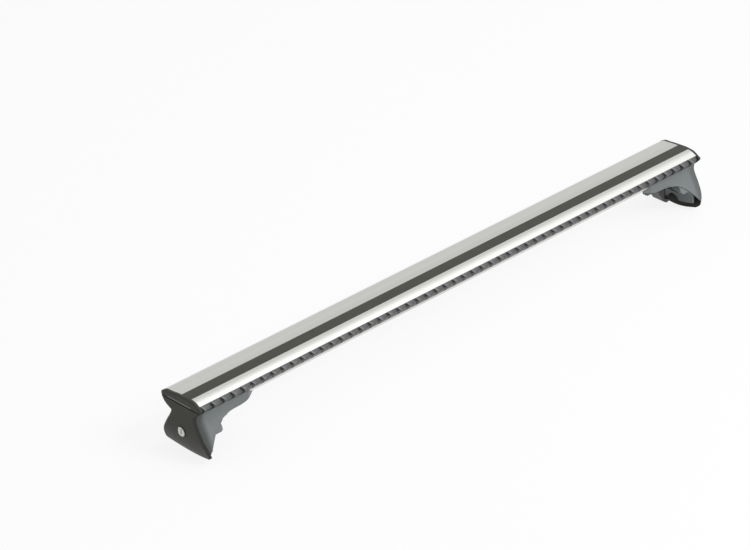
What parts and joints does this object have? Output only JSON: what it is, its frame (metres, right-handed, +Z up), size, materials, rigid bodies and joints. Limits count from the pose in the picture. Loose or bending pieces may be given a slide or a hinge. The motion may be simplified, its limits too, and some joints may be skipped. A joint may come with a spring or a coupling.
{
  "type": "roof rack crossbar",
  "caption": "Aerofoil roof rack crossbar with a ribbed leading edge, a strip-covered T-slot and lockable feet that clamp raised rails.",
  "frame": {"origin": "middle of the footprint at the level of the feet's lowest edge", "axes": "+X along the bar, +Y from the ribbed leading edge to the trailing edge, +Z up to the load slot"},
  "size_m": [1.0598, 0.0964, 0.0958],
  "materials": {
    "bar_aluminium": "satin",
    "slot_rubber": "matte",
    "edge_rubber": "satin",
    "cap_plastic": "satin",
    "foot_plastic": "satin",
    "door_plastic": "satin",
    "pad_rubber": "matte",
    "lock_metal": "satin",
    "steel_zinc": "satin",
    "jaw_metal": "matte"
  },
  "bodies": {
    "bar_and_feet": {"bar_extrusion": "bar_aluminium", "slot_strip": "slot_rubber", "leading_edge_strip": "edge_rubber", "end_cap_left": "cap_plastic", "foot_body_left": "foot_plastic", "hinge_pin_left": "steel_zinc", "bolt_washer_left": "steel_zinc", "saddle_pad_left": "pad_rubber", "fixing_screws_left": "steel_zinc", "fixing_plate_left": "steel_zinc", "end_cap_right": "cap_plastic", "foot_body_right": "foot_plastic", "hinge_pin_right": "steel_zinc", "bolt_washer_right": "steel_zinc", "saddle_pad_right": "pad_rubber", "fixing_screws_right": "steel_zinc", "fixing_plate_right": "steel_zinc"},
    "door_left": {"end_door_left": "door_plastic", "lock_housing_left": "cap_plastic"},
    "lock_left": {"lock_cylinder_left": "lock_metal", "lock_cam_left": "steel_zinc", "cam_screw_left": "steel_zinc"},
    "bolt_left": {"clamp_bolt_left": "steel_zinc", "bolt_clip_left": "steel_zinc"},
    "jaw_left": {"inner_jaw_left": "jaw_metal", "jaw_pad_left": "pad_rubber", "jaw_nut_left": "steel_zinc"},
    "door_right": {"end_door_right": "door_plastic", "lock_housing_right": "cap_plastic"},
    "lock_right": {"lock_cylinder_right": "lock_metal", "lock_cam_right": "steel_zinc", "cam_screw_right": "steel_zinc"},
    "bolt_right": {"clamp_bolt_right": "steel_zinc", "bolt_clip_right": "steel_zinc"},
    "jaw_right": {"inner_jaw_right": "jaw_metal", "jaw_pad_right": "pad_rubber", "jaw_nut_right": "steel_zinc"}
  },
  "joints": [
    {"name": "door_hinge_left", "type": "hinge", "parent": "bar_and_feet", "child": "door_left", "pos_m": [-0.527, 0.0065, 0.0837], "axis": [0, 1, 0], "range_deg": [0, 90]},
    {"name": "lock_turn_left", "type": "hinge", "parent": "door_left", "child": "lock_left", "pos_m": [-0.5238, 0.004, 0.0367], "axis": [-1, 0, 0], "range_deg": [0, 90]},
    {"name": "bolt_turn_left", "type": "hinge", "parent": "bar_and_feet", "child": "bolt_left", "pos_m": [-0.5134, 0, 0.0525], "axis": [1, 0, 0], "range_deg": [-4320, 2880]},
    {"name": "jaw_slide_left", "type": "slide", "parent": "bar_and_feet", "child": "jaw_left", "axis": [-1, 0, 0], "range_m": [-0.012, 0.008]},
    {"name": "door_hinge_right", "type": "hinge", "parent": "bar_and_feet", "child": "door_right", "pos_m": [0.527, 0.0065, 0.0837], "axis": [0, -1, 0], "range_deg": [0, 90]},
    {"name": "lock_turn_right", "type": "hinge", "parent": "door_right", "child": "lock_right", "pos_m": [0.5238, 0.004, 0.0367], "axis": [-1, 0, 0], "range_deg": [0, 90]},
    {"name": "bolt_turn_right", "type": "hinge", "parent": "bar_and_feet", "child": "bolt_right", "pos_m": [0.5134, 0, 0.0525], "axis": [-1, 0, 0], "range_deg": [-4320, 2880]},
    {"name": "jaw_slide_right", "type": "slide", "parent": "bar_and_feet", "child": "jaw_right", "axis": [1, 0, 0], "range_m": [-0.012, 0.008]}
  ],
  "couplings": [
    {"joint": "bolt_turn_left", "follows": "jaw_slide_left", "rad_per_m": 6283.2},
    {"joint": "bolt_turn_right", "follows": "jaw_slide_right", "rad_per_m": 6283.2}
  ]
}
